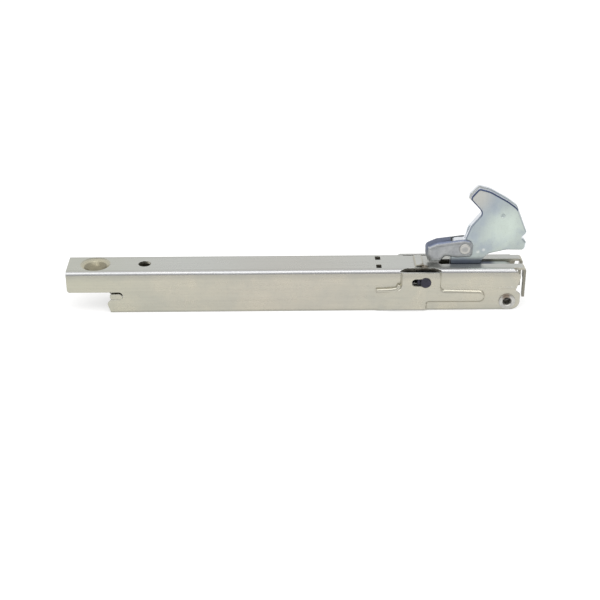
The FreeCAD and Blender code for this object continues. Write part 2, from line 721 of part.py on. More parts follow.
def add_drag_link():
    """The folded strap that pulls the spring: pinched at the spring, boxed, forked at the claw."""
    body = new_body("drag_link")
    plan = outline(body, "link_plan", "XY_Plane", [
        ("strap_end", "0 - strap_thick / 2"),
        ("link_box_start - pinch_length", "0 - strap_thick / 2", "3"),
        ("link_box_start", "0 - link_half", "3"),
        ("crank_place", "0 - link_half"),
        ("crank_place", "link_half"),
        ("link_box_start", "link_half", "3"),
        ("link_box_start - pinch_length", "strap_thick / 2", "3"),
        ("strap_end", "strap_thick / 2"),
    ], "link_low")
    pad(body, "bar_stock", plan, "link_high - link_low")
    lobe = outline(body, "fork_view", "XZ_Plane", [
        ("crank_place - fork_half - 6", "link_low"),
        ("crank_place + fork_half", "link_low"),
        ("crank_place + fork_half", "fork_high", "fork_half - 0.3"),
        ("crank_place - fork_half", "fork_high", "fork_half - 0.3"),
        ("crank_place - fork_half - 6", "link_high"),
    ])
    pad(body, "fork_lobes", lobe, "link_width", both=True)
    inside = outline(body, "link_inside", "XY_Plane", [
        ("link_box_start - pinch_length + 2", "0 - 0.05"),
        ("link_box_start + link_sheet", "0 - link_inner"),
        ("channel_length", "0 - link_inner"),
        ("channel_length", "link_inner"),
        ("link_box_start + link_sheet", "link_inner"),
        ("link_box_start - pinch_length + 2", "0.05"),
    ], "link_low + link_sheet")
    pocket(body, "trough", inside, "fork_high", reverse=True)
    mouth = outline(body, "fork_mouth_view", "XY_Plane",
                    box_corners("link_web_end", "channel_length", "0 - link_inner", "link_inner"))
    pocket(body, "fork_mouth", mouth, reverse=True)
    below = outline(body, "fork_relief_view", "XZ_Plane", [
        ("link_web_end + 2", "link_low - 1"),
        ("link_web_end + 2", "link_low"),
        ("fork_clear_start", "fork_low", "6"),
        ("channel_length", "fork_low"),
        ("channel_length", "link_low - 1"),
    ])
    pocket(body, "fork_relief", below, both=True)
    strap = outline(body, "strap_trim_view", "XZ_Plane", [
        ("strap_end - 1", "link_low - 1"),
        ("link_box_start - pinch_length / 2", "link_low - 1"),
        ("link_box_start - pinch_length", "link_low + strap_trim"),
        ("strap_end", "link_low + strap_trim", "1.8"),
        ("strap_end", "link_high - strap_trim", "1.8"),
        ("link_box_start - pinch_length", "link_high - strap_trim"),
        ("link_box_start - pinch_length / 2", "link_high + 1"),
        ("strap_end - 1", "link_high + 1"),
    ])
    pocket(body, "strap_trim_cut", strap, both=True)
    slot = outline(body, "crank_slot_view", "XZ_Plane", [
        ("crank_place - slot_half", "crank_height - slot_half", "slot_half - 0.02"),
        ("crank_place + slot_half", "crank_height - slot_half", "slot_half - 0.02"),
        ("crank_place + slot_half", "crank_height + crank_rise + slot_half", "slot_half - 0.02"),
        ("crank_place - slot_half", "crank_height + crank_rise + slot_half", "slot_half - 0.02"),
    ])
    pocket(body, "crank_slot", slot, both=True)
    holes = circles(body, "link_holes_view", "XZ_Plane", [
        ("axle_place", "axle_height", "axle_radius"),
        ("strap_hole_place", "(link_low + link_high) / 2", "strap_hole"),
    ])
    pocket(body, "link_holes", holes, both=True)
    return body


def add_anchor_bar():
    """The flat cross bar that holds the spring's tail hook in the notches of both walls."""
    body = new_body("anchor_bar")
    section = outline(body, "bar_section", "XZ_Plane", [
        ("bar_start", "bar_low", "bar_thick / 2 - 0.01"),
        ("bar_start + bar_width", "bar_low", "bar_thick / 2 - 0.01"),
        ("bar_start + bar_width", "bar_low + bar_thick", "bar_thick / 2 - 0.01"),
        ("bar_start", "bar_low + bar_thick", "bar_thick / 2 - 0.01"),
    ])
    pad(body, "bar", section, "channel_width", both=True)
    return body


def add_pivot():
    """The tubular rivet at the claw's pivot, with a spacer sleeve each side of the link's fork."""
    outer = "half_width + pivot_head_thick"
    bore_end = "(%s) - pivot_bore_depth" % outer
    turned("pivot_rivet", "pivot_place", "pivot_height", [
        ("0", "0 - (%s)" % bore_end),
        ("pivot_bore", "0 - (%s)" % bore_end),
        ("pivot_bore", "0 - (%s) + 0.6" % outer),
        ("pivot_bore + 0.9", "0 - (%s)" % outer),
        ("pivot_head - 0.5", "0 - (%s)" % outer),
        ("pivot_head", "0 - half_width - 0.3"),
        ("pivot_head", "0 - half_width"),
        ("pivot_shank", "0 - half_width"),
        ("pivot_shank", "half_width"),
        ("pivot_head", "half_width"),
        ("pivot_head", "half_width + 0.3"),
        ("pivot_head - 0.5", outer),
        ("pivot_bore + 0.9", outer),
        ("pivot_bore", "(%s) - 0.6" % outer),
        ("pivot_bore", bore_end),
        ("0", bore_end),
    ])
    for side, sign in (("front", "0 - "), ("rear", "")):
        turned("pivot_sleeve_" + side, "pivot_place", "pivot_height", [
            ("pivot_shank + run_fit", sign + "sleeve_start"),
            ("sleeve_radius", sign + "sleeve_start"),
            ("sleeve_radius", sign + "inner_half"),
            ("pivot_shank + run_fit", sign + "inner_half"),
        ])


def add_guide():
    """The shouldered pin across the bulged walls, its two clips and the roller on it."""
    end = "bulge_half + guide_proud"
    clip_end = "bulge_inner - run_fit"
    clip_start = "(%s) - clip_thick" % clip_end
    shoulder = "(%s) - 0.4" % clip_start
    turned("guide_pin", "guide_place", "guide_height", [
        ("0", "0 - (%s)" % end),
        ("guide_end - 0.5", "0 - (%s)" % end),
        ("guide_end", "0 - (%s) + 0.4" % end),
        ("guide_end", "0 - (%s)" % shoulder),
        ("guide_radius", "0 - (%s)" % shoulder),
        ("guide_radius", shoulder),
        ("guide_end", shoulder),
        ("guide_end", "(%s) - 0.4" % end),
        ("guide_end - 0.5", end),
        ("0", end),
    ])
    for side, sign in (("front", "0 - "), ("rear", "")):
        turned("guide_clip_" + side, "guide_place", "guide_height", [
            ("guide_end + run_fit", sign + "(%s)" % clip_start),
            ("clip_radius", sign + "(%s)" % clip_start),
            ("clip_radius", sign + "(%s)" % clip_end),
            ("guide_end + run_fit", sign + "(%s)" % clip_end),
        ])
    turned("cam_roller", "guide_place", "guide_height", [
        ("guide_radius + run_fit", "0 - link_half"),
        ("roller_radius - 0.3", "0 - link_half"),
        ("roller_radius", "0 - link_half + 0.3"),
        ("roller_radius", "link_half - 0.3"),
        ("roller_radius - 0.3", "link_half"),
        ("guide_radius + run_fit", "link_half"),
    ])


def add_friction_stack():
    """The collared axle across the link, with two conical washers, rim to rim, on each side."""
    end = "disc_end + axle_head_thick"
    turned("disc_axle", "axle_place", "axle_height", [
        ("0", "0 - (%s)" % end),
        ("axle_head", "0 - (%s)" % end),
        ("axle_head", "0 - disc_end"),
        ("axle_radius", "0 - disc_end"),
        ("axle_radius", "0 - disc_start"),
        ("axle_collar", "0 - disc_start"),
        ("axle_collar", "0 - link_half"),
        ("axle_radius", "0 - link_half"),
        ("axle_radius", "link_half"),
        ("axle_collar", "link_half"),
        ("axle_collar", "disc_start"),
        ("axle_radius", "disc_start"),
        ("axle_radius", "disc_end"),
        ("axle_head", "disc_end"),
        ("axle_head", end),
        ("0", end),
    ])
    for side, sign in (("front", "0 - "), ("rear", "")):
        for layer, hub, rim, step in (
            ("inner", "disc_start", "disc_start + washer_cone", "washer_thick"),
            ("outer", "disc_end - washer_thick", "disc_middle", "washer_thick"),
        ):
            turned("friction_washer_%s_%s" % (side, layer), "axle_place", "axle_height", [
                ("axle_radius + run_fit", sign + "(%s)" % hub),
                ("washer_radius", sign + "(%s)" % rim),
                ("washer_radius", sign + "(%s + %s)" % (rim, step)),
                ("axle_radius + run_fit", sign + "(%s + %s)" % (hub, step)),
            ])


def add_claw_pins():
    """The pin from the claw's crank to the link's fork, and the rivet that carries the latch."""
    for label, along, up, shank, head, reach, thick in (
        ("link_pin", "crank_place", "crank_height", "link_pin_radius", "link_pin_head",
         "link_half + gap", "link_pin_head_thick"),
        ("latch_rivet", "latch_pivot_place", "latch_pivot_height", "latch_rivet_radius",
         "latch_rivet_head", "latch_outer + run_fit", "latch_rivet_head_thick"),
    ):
        far = "(%s) + %s" % (reach, thick)
        turned(label, along, up, [
            ("0", "0 - (%s)" % far),
            (head + " - 0.4", "0 - (%s)" % far),
            (head, "0 - (%s) + 0.3" % far),
            (head, "0 - (%s)" % reach),
            (shank, "0 - (%s)" % reach),
            (shank, reach),
            (head, reach),
            (head, "(%s) - 0.3" % far),
            (head + " - 0.4", far),
            ("0", far),
        ])


def wire_run(points, radius):
    """A round wire through points, with a ball at each inner joint."""
    pieces = []
    for a, b in zip(points, points[1:]):
        pieces.append(Part.makeCylinder(radius, (b - a).Length, a, b - a))
    for point in points[1:-1]:
        pieces.append(Part.makeSphere(radius, point))
    return pieces


def arc_points(centre, first, second, radius, start, stop, count):
    """Points on an arc in the plane of two unit vectors, angles in degrees."""
    points = []
    for i in range(count + 1):
        angle = math.radians(start + (stop - start) * i / count)
        points.append(centre + first * (radius * math.cos(angle))
                      + second * (radius * math.sin(angle)))
    return points


def add_tension_spring():
    """The tension spring: a helix about X, a tail hook round the bar, a nose hook in the strap."""
    wire = number("wire_radius")
    mean = number("coil_radius")
    height = number("coil_height")
    start = number("coil_start")
    turns = number("coil_count")
    pitch = number("coil_pitch")
    ex, ey, ez = (FreeCAD.Vector(*v) for v in ((1, 0, 0), (0, 1, 0), (0, 0, 1)))
    helix = Part.makeHelix(pitch, pitch * turns, mean)
    section = Part.Wire([Part.makeCircle(wire, FreeCAD.Vector(mean, 0, 0), ey)])
    coil = Part.Wire(helix.Edges).makePipeShell([section], True, True)
    coil.rotate(FreeCAD.Vector(), ey, 90)
    coil.translate(FreeCAD.Vector(start, 0, height))
    coil_first = FreeCAD.Vector(start, 0, height - mean)
    coil_last = FreeCAD.Vector(start + pitch * turns, 0, height - mean)
    bar = FreeCAD.Vector(number("bar_start + bar_thick / 2"), 0, number("bar_middle"))
    hook = number("bar_thick / 2 + wire_radius + run_fit * 2")
    tail = arc_points(bar, ez, ex, hook, 180, 360, 10)
    tail_path = [coil_first, FreeCAD.Vector(start - 4, 0, tail[0].z)] + tail
    tail_path.append(tail[-1] + ex * number("bar_width - bar_thick"))
    hole = FreeCAD.Vector(number("strap_hole_place"), 0, number("(link_low + link_high) / 2"))
    side = number("strap_thick / 2 + wire_radius + gap")
    nose_path = [
        coil_last,
        coil_last + FreeCAD.Vector(4, side, 1.2),
        FreeCAD.Vector(hole.x - 2 * wire, side, hole.z),
        FreeCAD.Vector(hole.x - 0.6 * wire, side - 0.4 * wire, hole.z),
        FreeCAD.Vector(hole.x, side - 1.6 * wire, hole.z),
        FreeCAD.Vector(hole.x, -side, hole.z),
    ]
    balls = [Part.makeSphere(wire, coil_first), Part.makeSphere(wire, coil_last)]
    whole = coil.multiFuse(wire_run(tail_path, wire) + wire_run(nose_path, wire) + balls)
    spring = doc.addObject("Part::Feature", "tension_spring")
    spring.Label = "tension_spring"
    spring.Shape = whole.Solids[0] if len(whole.Solids) == 1 else whole
    spring.Placement = FreeCAD.Placement(FreeCAD.Vector(-number("middle"), 0, 0),
                                         FreeCAD.Rotation())
    return spring


def check_and_write():
    """Stops on any failed object or bad solid, then writes one file for each piece."""
    doc.recompute()
    failed = [o.Label for o in doc.Objects if "Invalid" in o.State or "Error" in o.State]
    if failed:
        raise RuntimeError("failed objects: " + ", ".join(failed))
    os.makedirs("parts", exist_ok=True)
    pieces = [o for o in doc.Objects if o.TypeId in ("PartDesign::Body", "Part::Feature")]
    wrong = [piece.Label for piece in pieces if piece.Shape.isNull()
             or not piece.Shape.isValid() or len(piece.Shape.Solids) != 1]
    if wrong:
        raise RuntimeError("not one valid solid: " + ", ".join(wrong))
    for piece in pieces:
        piece.Shape.exportStep("parts/%s.step" % piece.Label)
        box = piece.Shape.BoundBox
        print("%-30s %8.1f mm3  x %7.2f %7.2f  y %6.2f %6.2f  z %6.2f %6.2f" % (
            piece.Label, piece.Shape.Volume, box.XMin, box.XMax, box.YMin, box.YMax,
            box.ZMin, box.ZMax))


add_channel()
add_claw()
add_latch()
add_drag_link()
add_anchor_bar()
add_pivot()
add_guide()
add_friction_stack()
add_claw_pins()
add_tension_spring()
check_and_write()
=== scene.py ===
# %% [markdown]
# # An oven door hinge in folded steel
# The object is a long folded channel with a hook plate, called the claw, at one end. A small
# folded saddle, the latch, sits on the claw's arm, and a long spring lies inside the channel. The
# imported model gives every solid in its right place, so this lesson only has to give each one a
# smooth surface and a finish that is worth looking at.

import json
import math

import bmesh
import bpy
import numpy as np
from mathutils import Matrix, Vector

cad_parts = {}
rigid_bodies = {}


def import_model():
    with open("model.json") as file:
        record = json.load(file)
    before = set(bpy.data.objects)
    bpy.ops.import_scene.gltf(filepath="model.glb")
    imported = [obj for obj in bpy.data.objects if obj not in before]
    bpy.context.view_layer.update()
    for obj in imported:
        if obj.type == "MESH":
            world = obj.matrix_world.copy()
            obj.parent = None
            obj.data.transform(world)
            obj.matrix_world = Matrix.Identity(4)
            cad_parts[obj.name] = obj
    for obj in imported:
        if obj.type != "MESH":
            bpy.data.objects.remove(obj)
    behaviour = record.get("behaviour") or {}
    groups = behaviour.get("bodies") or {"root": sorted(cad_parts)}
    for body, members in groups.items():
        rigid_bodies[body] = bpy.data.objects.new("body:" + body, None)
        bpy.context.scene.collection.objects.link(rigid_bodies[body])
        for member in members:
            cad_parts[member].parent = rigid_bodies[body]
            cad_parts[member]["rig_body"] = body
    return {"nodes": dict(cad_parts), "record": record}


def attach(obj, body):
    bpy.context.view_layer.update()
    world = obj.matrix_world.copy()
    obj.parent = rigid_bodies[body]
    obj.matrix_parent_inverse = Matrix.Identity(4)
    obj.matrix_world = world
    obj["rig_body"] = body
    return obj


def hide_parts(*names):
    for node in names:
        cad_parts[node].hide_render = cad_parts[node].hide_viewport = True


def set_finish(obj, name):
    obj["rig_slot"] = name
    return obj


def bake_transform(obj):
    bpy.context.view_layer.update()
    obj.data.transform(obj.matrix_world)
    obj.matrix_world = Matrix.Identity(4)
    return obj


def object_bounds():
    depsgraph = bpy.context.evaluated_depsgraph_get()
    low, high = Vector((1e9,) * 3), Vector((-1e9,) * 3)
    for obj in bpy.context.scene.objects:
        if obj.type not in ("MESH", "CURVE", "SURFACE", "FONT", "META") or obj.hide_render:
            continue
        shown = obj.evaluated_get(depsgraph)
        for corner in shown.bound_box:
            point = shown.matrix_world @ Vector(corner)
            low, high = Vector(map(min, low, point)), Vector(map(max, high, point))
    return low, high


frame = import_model()
cad_low, cad_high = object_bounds()
slot_of = {row["node"]: row["material_slot"] for row in frame["record"]["subparts"]}
slot_of["guide_clip_front"] = slot_of["guide_clip_rear"] = "dark_pins"
print("solids in the packed model:", len(frame["nodes"]))
print("their box in mm:", [round(1000 * (b - a), 1) for a, b in zip(cad_low, cad_high)])

# %% [markdown]
# ## Where the camera stands
# The hinge was looked at from the front and well above, through a long lens, so its edges stay
# nearly parallel. The place, the tilt and the lens below are one fit to the corners of the
# channel. A camera set by eye would do for a new picture, but a fitted one makes every later
# comparison honest.

# %% Camera
lens_data = bpy.data.cameras.new("hinge_camera")
lens_data.sensor_width = 36.0
lens_data.lens = 77.13
lens_data.clip_start = 0.05
camera = bpy.data.objects.new("hinge_camera", lens_data)
camera.location = (-0.00723, -0.52252, 0.27607)
camera.rotation_euler = [math.radians(a) for a in (62.23, 0.0, -0.96)]
bpy.context.scene.collection.objects.link(camera)
bpy.context.scene.camera = camera
bpy.context.scene.view_settings.view_transform = "Standard"
print("camera distance in mm:", round(1000 * math.dist(camera.location, (0, 0, 0))))

# %% [markdown]
# ## Shader nodes as functions
# A shader is a graph of nodes. Drawn in the editor it is easy to see, and slow to repeat for
# eight finishes. So each node that is used often gets a function that returns its output, and a
# finish then reads like a sum.

# %% One node, one sum, one ramp, one colour


def put(tree, kind, settings=None, **sockets):
    """Adds one shader node. A socket goes by its name, _ for a space, or by _ and a number."""
    made = tree.nodes.new("ShaderNode" + kind)
    for name, value in (settings or {}).items():
        setattr(made, name, value)
    for name, value in sockets.items():
        socket = made.inputs[int(name[1:]) if name[1:].isdigit() else name.replace("_", " ")]
        if isinstance(value, bpy.types.NodeSocket):
            tree.links.new(value, socket)
        else:
            socket.default_value = value
    return made


def reckon(tree, operation, first, second=0.5):
    """The result of one Math node. The second number is left unread where only one counts."""
    return put(tree, "Math", {"operation": operation}, _0=first, _1=second).outputs[0]


def ramp(tree, value, low, high, bottom=0.0, top=1.0, curve="SMOOTHSTEP"):
    """Bottom where the value is low, top where it is high, and held beyond both."""
    return put(tree, "MapRange", {"interpolation_type": curve}, Value=value, From_Min=low,
               From_Max=high, To_Min=bottom, To_Max=top).outputs[0]


def paint(red, green, blue):
    """Screen values from 0 to 255, undone to the linear values that light is mixed in."""
    screen = np.array([red, green, blue]) / 255
    linear = np.where(screen <= 0.04045, screen / 12.92, ((screen + 0.055) / 1.055) ** 2.4)
    return (*linear.tolist(), 1.0)


print("a screen grey of 188 in linear light:", round(paint(188, 188, 188)[0], 3))

# %% [markdown]
# ## The white floor
# The hinge lies on plain white. A white sheet under strong lamps would do, but the steel would
# then burn out. So the floor is grey chalk that takes the shadow, and adds light of its own that
# only the camera, mirrors and glass see. Right under the channel that light fades, or it would
# shine up through the open side.

# %% Floor
floor_reach = 14.0
floor_gap = 0.0002
chalk_shade = 0.5
own_light_strength = 0.6
dark_patch = ((0, 0.072, 0.082), (1, 0.006, 0.0085))


def studio_floor(half):
    """A square in the plane under the hinge: corner = centre plus or minus half, both ways."""
    corners = np.array([[-1, -1, 0], [1, -1, 0], [1, 1, 0], [-1, 1, 0]]) * half
    corners[:, 2] = min(cad_low.z, 0.0) - floor_gap
    mesh = bpy.data.meshes.new("studio_floor")
    mesh.from_pydata(corners.tolist(), [], [(0, 1, 2, 3)])
    floor = bpy.data.objects.new("studio_floor", mesh)
    bpy.context.scene.collection.objects.link(floor)
    return floor


def floor_white():
    """Chalk for every ray, and chalk plus own light for the rays that show a background."""
    material = bpy.data.materials.new("studio_white")
    material.use_nodes = True
    tree = material.node_tree
    tree.nodes.clear()
    rays = put(tree, "LightPath").outputs
    seen = reckon(tree, "MAXIMUM", rays["Is Camera Ray"], rays["Is Glossy Ray"])
    seen = reckon(tree, "MAXIMUM", seen, rays["Is Transmission Ray"])
    spot = put(tree, "SeparateXYZ", Vector=put(tree, "TexCoord").outputs["Object"]).outputs
    outside = [ramp(tree, reckon(tree, "ABSOLUTE", spot[axis]), first, last, curve="LINEAR")
               for axis, first, last in dark_patch]
    strength = reckon(tree, "MULTIPLY", reckon(tree, "MAXIMUM", *outside), own_light_strength)
    chalk = put(tree, "BsdfDiffuse", Color=(chalk_shade, chalk_shade, chalk_shade, 1))
    own_light = put(tree, "Emission", Color=(1, 1, 1, 1), Strength=strength)
    both = put(tree, "AddShader", _0=chalk.outputs[0], _1=own_light.outputs[0])
    chosen = put(tree, "MixShader", _0=seen, _1=chalk.outputs[0], _2=both.outputs[0])
    put(tree, "OutputMaterial", Surface=chosen.outputs[0])
    return material


floor = studio_floor(floor_reach)
floor.data.materials.append(floor_white())
print("floor level in mm:", round(1000 * floor.data.vertices[0].co.z, 2))

# %% [markdown]
# ## The pale room
# Steel shows what stands around it more than its own colour. An even pale room keeps the colours
# true but leaves upright walls without shape. A darker band low in front, as a photographer's
# grey card would give, is what the channel's side mirrors.

# %% World
card_strength, room_strength = 0.34, 0.86
world = bpy.data.worlds.new("pale_room")
world.use_nodes = True
bpy.context.scene.world = world
room = world.node_tree
facing = put(room, "SeparateXYZ", Vector=put(room, "TexCoord").outputs["Generated"]).outputs
off_level = ramp(room, reckon(room, "ABSOLUTE", facing[2]), 0.12, 0.5)
off_front = ramp(room, facing[1], -0.8, -0.3)
strength = ramp(room, reckon(room, "MAXIMUM", off_level, off_front), 0.0, 1.0, card_strength,
                room_strength, "LINEAR")
backdrop = room.nodes["Background"]
backdrop.inputs["Color"].default_value = (1.0, 0.995, 0.985, 1)
room.links.new(strength, backdrop.inputs["Strength"])
print("room strength from", card_strength, "to", room_strength)

# %% [markdown]
# ## Two soft lamps
# One long soft lamp high in front lies where the folded edge mirrors it, which draws the bright
# line along the fold. A weaker one on the tail's side keeps the far end from going flat.

# %% Lamps


def soft_lamp(name, direction, distance, wide, deep, strength):
    """A rectangular lamp at a distance along a direction, turned to face the hinge's middle."""
    data = bpy.data.lights.new(name, "AREA")
    data.shape, data.size, data.size_y, data.energy = "RECTANGLE", wide, deep, strength
    lamp = bpy.data.objects.new(name, data)
    heading = np.array(direction) / np.linalg.norm(direction)
    lamp.location = heading * distance
    lamp.rotation_euler = (-lamp.location).to_track_quat("-Z", "Y").to_euler()
    bpy.context.scene.collection.objects.link(lamp)
    return lamp


lamps = [soft_lamp("fold_softbox", (0.05, -0.35, 0.94), 0.9, 1.3, 0.55, 3.5),
         soft_lamp("tail_side_fill", (-0.9, -0.5, 0.7), 1.1, 0.5, 0.5, 1.3)]
print("lamps:", [lamp.name for lamp in lamps])

# %% [markdown]
# ## From loose triangles to a smooth skin
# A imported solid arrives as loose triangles, each with its own corners, so light breaks at every
# facet. A copy whose doubled points are merged can be shaded smoothly. Triangles that lie in one
# plane are joined to one face, so that slivers don't pull the light about. Edges sharper than a
# chosen angle stay crisp, and weighted normals keep the broad flats flat right up to their
# fillets, as a pressed or blanked piece looks.

# %% Copy, merge and smooth
same_point = 2e-7
one_plane = math.radians(0.3)
crisp_edge = math.radians(27)
flats_weight = 80


def smooth_copy(node):
    """A merged copy of one solid that stands for it and rides on the same body."""
    source = frame["nodes"][node]
    mesh = bpy.data.meshes.new(node + "_skin")
    shell = bmesh.new()
    shell.from_mesh(source.data)
    bmesh.ops.remove_doubles(shell, verts=shell.verts, dist=same_point)
    bmesh.ops.dissolve_limit(shell, angle_limit=one_plane, verts=shell.verts, edges=shell.edges)
    shell.to_mesh(mesh)
    shell.free()
    mesh.materials.clear()
    mesh.shade_smooth()
    mesh.set_sharp_from_angle(angle=crisp_edge)
    piece = bpy.data.objects.new(node + "_skin", mesh)
    bpy.context.scene.collection.objects.link(piece)
    weights = piece.modifiers.new("even_flats", "WEIGHTED_NORMAL")
    weights.keep_sharp = True
    weights.weight = flats_weight
    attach(piece, source["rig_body"])
    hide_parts(node)
    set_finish(piece, slot_of[node])
    return piece


skins = {name: smooth_copy(name) for name in (
    "channel", "claw", "latch", "drag_link", "anchor_bar", "guide_clip_front",
    "guide_clip_rear", "pivot_sleeve_front", "pivot_sleeve_rear")}
print("smooth skins:", {name: len(skin.data.polygons) for name, skin in skins.items()})

# %% [markdown]
# ## Surfaces worked out as arrays
# Round pieces are better made anew than smoothed, because their true form is a short formula.
# Both a turned rivet and a bent wire are a grid of points that closes on itself one way round, so
# they share their faces and the step that puts them in the scene.

# %% A grid of points becomes a piece
round_edge = math.radians(38)


def tube_faces(rings, around):
    """Faces of a grid that closes round. Point (i, j) is number i n + j, and each face joins
    (i, j), (i, j + 1), (i + 1, j + 1) and (i + 1, j), where j + 1 wraps round to 0 after n."""
    rows, columns = np.meshgrid(np.arange(rings - 1), np.arange(around), indexing="ij")
    right = (columns + 1) % around
    return np.stack([rows * around + columns, rows * around + right,
                     (rows + 1) * around + right, (rows + 1) * around + columns],
                    axis=-1).reshape(-1, 4)


def place_mesh(name, grid, body, node_names, slot):
    """Puts a grid of points in mm, rings by points round, into the scene as one finished piece."""
    mesh = bpy.data.meshes.new(name)
    points, faces = grid.reshape(-1, 3) / 1000, tube_faces(*grid.shape[:2])
    mesh.from_pydata(points.tolist(), [], faces.tolist())
    shell = bmesh.new()
    shell.from_mesh(mesh)
    bmesh.ops.remove_doubles(shell, verts=shell.verts, dist=1e-7)
    bmesh.ops.dissolve_degenerate(shell, edges=shell.edges, dist=1e-8)
    bmesh.ops.recalc_face_normals(shell, faces=shell.faces)
    shell.to_mesh(mesh)
    shell.free()
    piece = bpy.data.objects.new(name, mesh)
    bpy.context.scene.collection.objects.link(piece)
    mesh.shade_smooth()
    mesh.set_sharp_from_angle(angle=round_edge)
    if body:
        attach(piece, body)
    if node_names:
        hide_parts(*node_names)
    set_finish(piece, slot)
    return piece


print("faces of three rings of four points:", tube_faces(3, 4).shape)

# %% [markdown]
# ## Turned pieces
# Rivets, pins, rollers and washers come off a lathe or out of a heading tool, so each is one
# outline carried round an axis. Every axis of this hinge lies across it. The corners of the
# outline get a small curve, because no headed rivet has a sharp rim, and that curve is what
# catches the light.

# %% A soft outline and its revolution
corner_share = 0.48


def soft_corners(corners, radii, steps=6):
    """Rounds the corners of a line. Each corner P with neighbours A and B becomes a curve
    Q(t) = (1-t)^2 P_a + 2t(1-t) P + t^2 P_b, where P_a and P_b lie a radius away towards A and B,
    and never more than corner_share of the way."""
    corners = np.asarray(corners, float)
    radii = np.broadcast_to(np.asarray(radii, float), len(corners))[:, None]
    before = np.roll(corners, 1, axis=0) - corners
    after = np.roll(corners, -1, axis=0) - corners
    before[0] = after[-1] = 0
    reach = [np.maximum(np.linalg.norm(v, axis=1, keepdims=True), 1e-12) for v in (before, after)]
    start = corners + before / reach[0] * np.minimum(radii, reach[0] * corner_share)
    stop = corners + after / reach[1] * np.minimum(radii, reach[1] * corner_share)
    t = np.linspace(0, 1, steps)[None, :, None]
    curve = ((1 - t) ** 2 * start[:, None] + 2 * t * (1 - t) * corners[:, None]
             + t ** 2 * stop[:, None])
    line = curve.reshape(-1, corners.shape[1])
    keep = np.r_[True, np.linalg.norm(np.diff(line, axis=0), axis=1) > 1e-9]
    return line[keep]


def turned_piece(node, body, slot, centre, outline, radii, around=96):
    """A surface of revolution about an axis across the hinge. With r and y along the outline
    and an angle a, the point is (x0 + r cos a, y, z0 + r sin a). All sizes are in mm."""
    line = soft_corners(outline, radii)
    angle = np.linspace(0, 2 * np.pi, around, endpoint=False)
    r, y = line[:, :1], line[:, 1:]
    grid = np.stack([centre[0] + r * np.cos(angle), y + 0 * angle,
                     centre[1] + r * np.sin(angle)], axis=-1)
    return place_mesh(node + "_turned", grid, body, [node], slot)


def both_ends(half):
    """An outline for the rear half, mirrored for the front: (r, y) becomes (r, -y) in reverse."""
    half = np.asarray(half, float)
    return np.concatenate([half[::-1] * [1, -1], half])


print("a square corner softened in", len(soft_corners([(1, 0), (1, 1), (0, 1)], 0.3)), "points")

# %% [markdown]
# The big rivet is a tube whose ends are rolled over. From outside one sees a bright ring, a
# rounded rim, and a dark hole with a small land inside. The outline runs out along the shank,
# over the head and back down the bore.

# %% The tubular rivet
pivot = (95.15, 4.1)
rivet_half = [(2.2, 0.02), (2.2, 8.75), (3.8, 8.76), (3.75, 9.25), (2.95, 9.55), (2.2, 9.5),
              (1.7, 8.75), (1.7, 4.6), (1.0, 4.6), (0.9, 4.3), (0, 4.3)]
pivot_rivet = turned_piece("pivot_rivet", "frame", "bright_rivets", pivot,
                           both_ends(rivet_half), 0.22)
print("rivet faces:", len(pivot_rivet.data.polygons))

# %% [markdown]
# The dark pin is shouldered, with a flat end that the cutter left slightly dished. The roller
# turns on it and bears on the link, so it rides on a body of its own.

# %% The guide pin and its roller
guide = (57.75, 14.4)
pin_half = [(1.6, 0.02), (1.6, 8.0), (2.45, 8.02), (2.45, 10.5), (2.0, 10.84), (1.55, 10.78),
            (0, 10.72)]
guide_pin = turned_piece("guide_pin", "frame", "dark_pins", guide, both_ends(pin_half), 0.14)
roller_line = [(1.66, -3.6), (3.1, -3.6), (3.4, -3.3), (3.4, 3.3), (3.1, 3.6), (1.66, 3.6),
               (1.66, -3.6)]
cam_roller = turned_piece("cam_roller", "cam_roller", "dark_pins", guide, roller_line,
                          [0, 0.2, 0.2, 0.2, 0.2, 0, 0])
print("dark pieces:", guide_pin.name, cam_roller.name)

# %% [markdown]
# Three more shanks with low heads hold the moving pieces together: the crank's pin in the link's
# fork, the latch's rivet with its flat button, and the collared axle across the link. They differ
# only in their outline, so a table is enough.

# %% Link pin, latch rivet and axle
axle = (46.25, 7.8)
headed = (
    ("link_pin", "claw", (90.2, 9.05), 0.12,
     [(1.3, 0.02), (1.3, 3.9), (2.0, 3.92), (2.0, 4.25), (1.7, 4.48), (0, 4.5)]),
    ("latch_rivet", "claw", (75.35, 28.0), 0.16,
     [(1.6, 0.02), (1.6, 3.74), (2.5, 3.76), (2.48, 4.15), (2.15, 4.42), (0, 4.45)]),
    ("disc_axle", "link", axle, 0.08,
     [(1.5, 0.02), (1.5, 3.59), (2.4, 3.61), (2.4, 4.0), (1.5, 4.02), (1.5, 7.19), (1.9, 7.21),
      (1.9, 7.65), (1.5, 7.9), (0, 7.9)]))
for node, body, centre, corner, half in headed:
    piece = turned_piece(node, body, "bright_rivets", centre, both_ends(half), corner)
    print(piece.name, "faces:", len(piece.data.polygons))

# %% [markdown]
# The washers are thin dished rings of friction material on the axle, two a side. The inner one
# cups outwards and the outer one back to it, so that they spring against the walls.

# %% Friction washers
washer_bore, washer_radius, washer_thick = 1.56, 4.4, 0.9
for side, sign in (("front", -1), ("rear", 1)):
    for layer, hub, rim in (("inner", 4.0, 4.7), ("outer", 6.3, 5.6)):
        ring = np.array([(washer_bore, hub), (washer_radius, rim),
                         (washer_radius, rim + washer_thick), (washer_bore, hub + washer_thick),
                         (washer_bore, hub)]) * [1, sign]
        washer = turned_piece("friction_washer_%s_%s" % (side, layer), "link",
                              "friction_washers", axle, ring, [0, 0.16, 0.16, 0.1, 0])
        print(washer.name, "faces:", len(washer.data.polygons))

